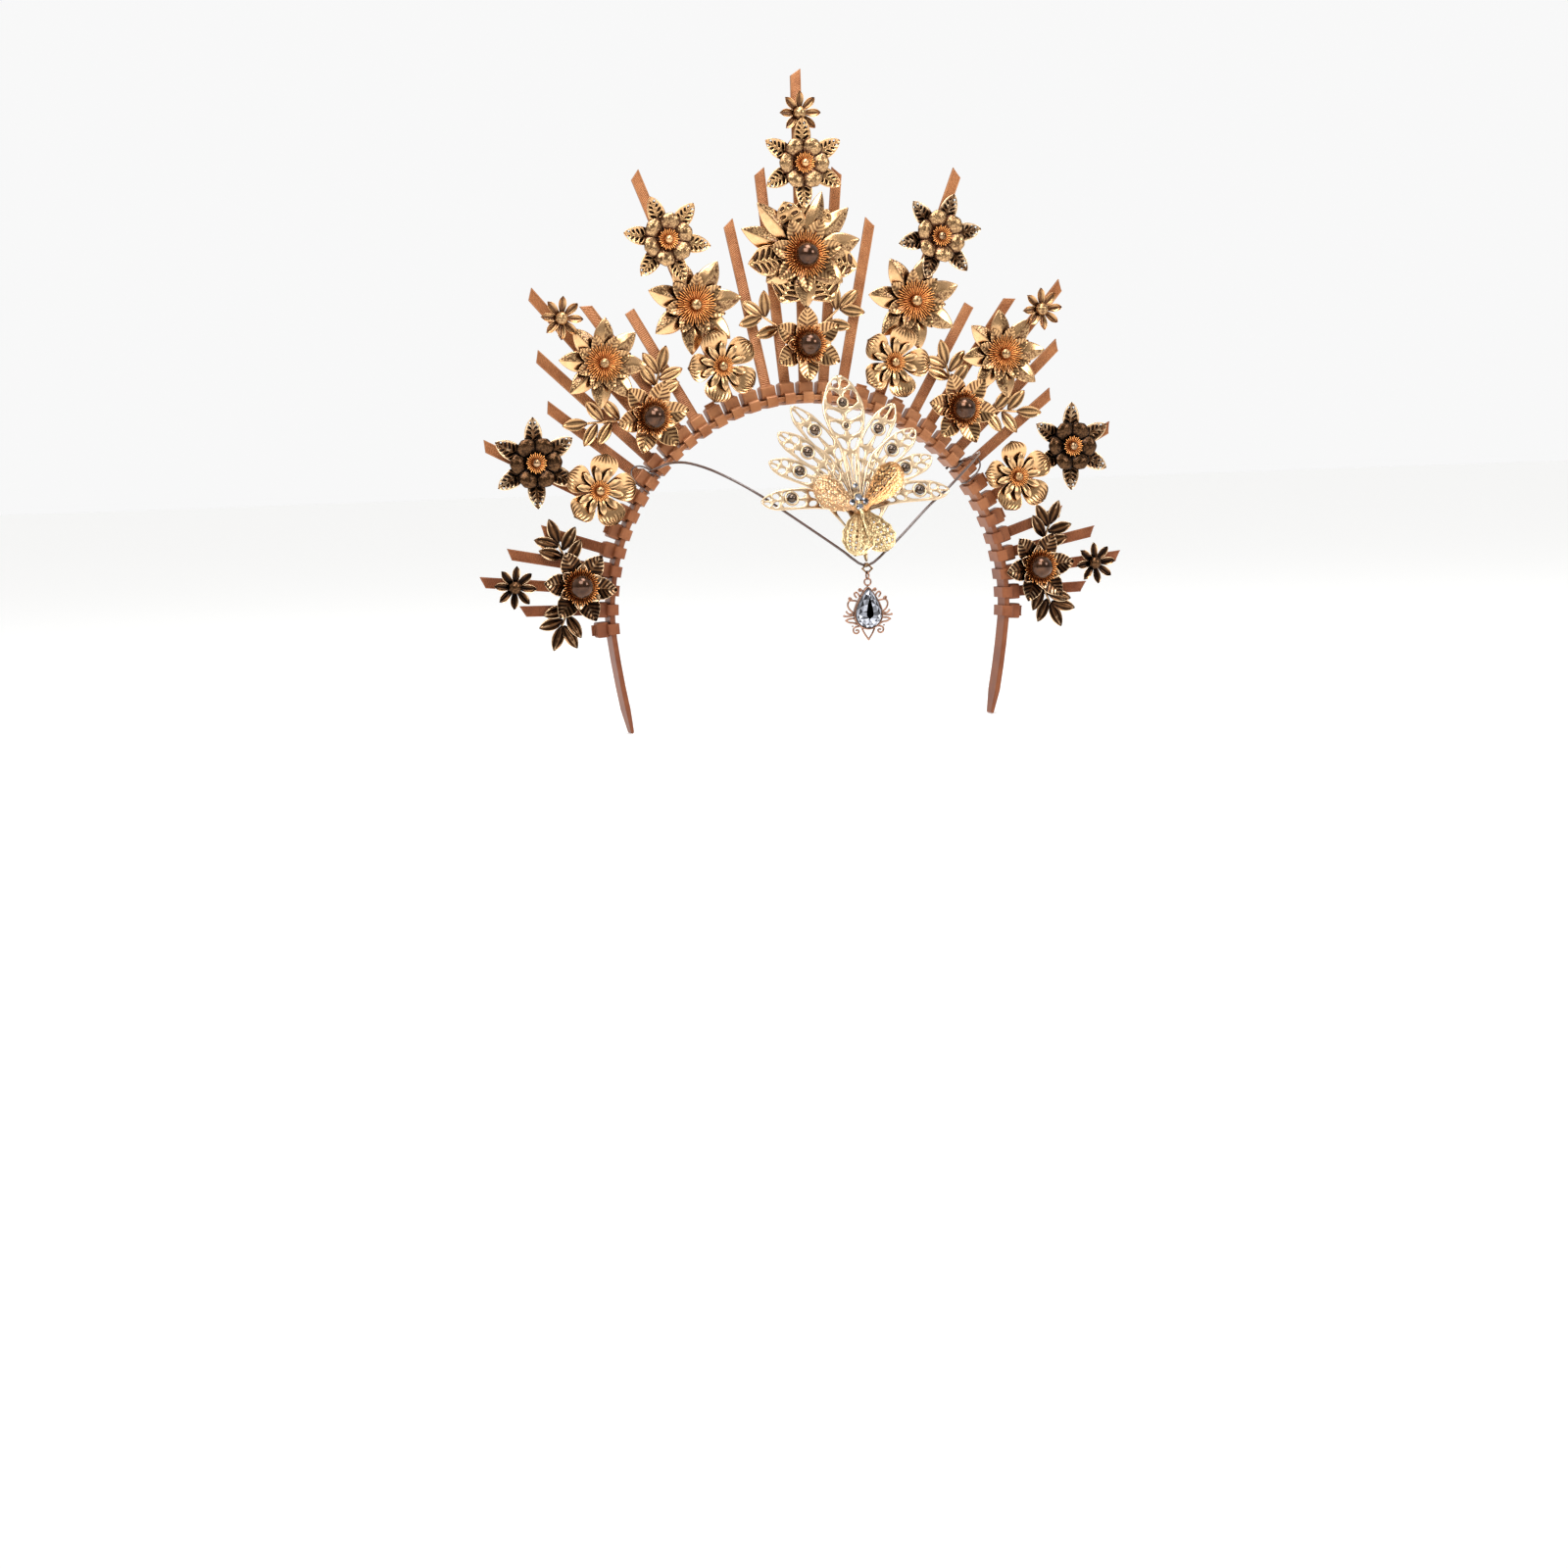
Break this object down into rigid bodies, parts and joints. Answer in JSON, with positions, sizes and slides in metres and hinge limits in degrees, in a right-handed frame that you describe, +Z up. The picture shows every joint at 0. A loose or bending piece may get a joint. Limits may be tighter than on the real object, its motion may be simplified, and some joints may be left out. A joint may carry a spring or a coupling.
{
  "type": "halo crown headband",
  "caption": "Rigid halo headband with flat upright rays and glued metal flowers; a forehead cord carries a pierced fan, a butterfly and a swinging pear drop.",
  "frame": {"origin": "middle of the band's inner face at the top, where the band rests on the wearer's head", "axes": "+X to the wearer's left, +Z up along the centre ray, and the flowers face -Y"},
  "size_m": [0.3092, 0.089, 0.2966],
  "materials": {
    "copper_plastic": "cable-tie plastic painted satin copper",
    "yellow_gold": "bright yellow gold plate on stamped metal",
    "pale_gold": "satin pale gold plate",
    "rose_gold": "antiqued rose gold plate",
    "dark_cord": "dark brown round cord with a low shine",
    "crystal": "clear cut crystal with a foil back"
  },
  "bodies": {
    "crown": {"headband": "copper_plastic", "ray_00": "copper_plastic", "ray_01_left": "copper_plastic", "ray_01_right": "copper_plastic", "ray_02_left": "copper_plastic", "ray_02_right": "copper_plastic", "ray_04_left": "copper_plastic", "ray_04_right": "copper_plastic", "ray_06_left": "copper_plastic", "ray_06_right": "copper_plastic", "ray_07_left": "copper_plastic", "ray_07_right": "copper_plastic", "ray_08_left": "copper_plastic", "ray_08_right": "copper_plastic", "ray_09_left": "copper_plastic", "ray_09_right": "copper_plastic", "ray_10_left": "copper_plastic", "ray_10_right": "copper_plastic", "ray_12_left": "copper_plastic", "ray_12_right": "copper_plastic", "ray_14_left": "copper_plastic", "ray_14_right": "copper_plastic", "ray_15_left": "copper_plastic", "ray_15_right": "copper_plastic", "ray_16_left": "copper_plastic", "ray_16_right": "copper_plastic", "ray_17_left": "copper_plastic", "ray_17_right": "copper_plastic", "daisy_top": "yellow_gold", "leafy_top": "yellow_gold", "centre_flower": "yellow_gold", "pearl_flower_top": "yellow_gold", "leafy_upper_left": "yellow_gold", "leafy_upper_right": "yellow_gold", "lily_left": "yellow_gold", "lily_right": "yellow_gold", "shell_upper_left": "yellow_gold", "shell_upper_right": "yellow_gold", "daisy_middle_left": "yellow_gold", "daisy_middle_right": "yellow_gold", "sunburst_left": "yellow_gold", "sunburst_right": "yellow_gold", "pearl_flower_middle_left": "yellow_gold", "pearl_flower_middle_right": "yellow_gold", "leafy_lower_left": "yellow_gold", "leafy_lower_right": "yellow_gold", "shell_lower_left": "yellow_gold", "shell_lower_right": "yellow_gold", "daisy_lower_left": "yellow_gold", "daisy_lower_right": "yellow_gold", "pearl_flower_lower_left": "yellow_gold", "pearl_flower_lower_right": "yellow_gold", "forehead_cord": "dark_cord", "peacock_fan": "pale_gold", "butterfly": "pale_gold", "bail": "pale_gold", "link": "rose_gold"},
    "drop": {"drop_frame": "rose_gold", "drop_stone": "crystal"}
  },
  "joints": [
    {"name": "drop_swing", "type": "hinge", "parent": "crown", "child": "drop", "pos_m": [0, -0.07925, -0.07841], "axis": [1, 0, 0], "range_deg": [-60, 60]}
  ]
}
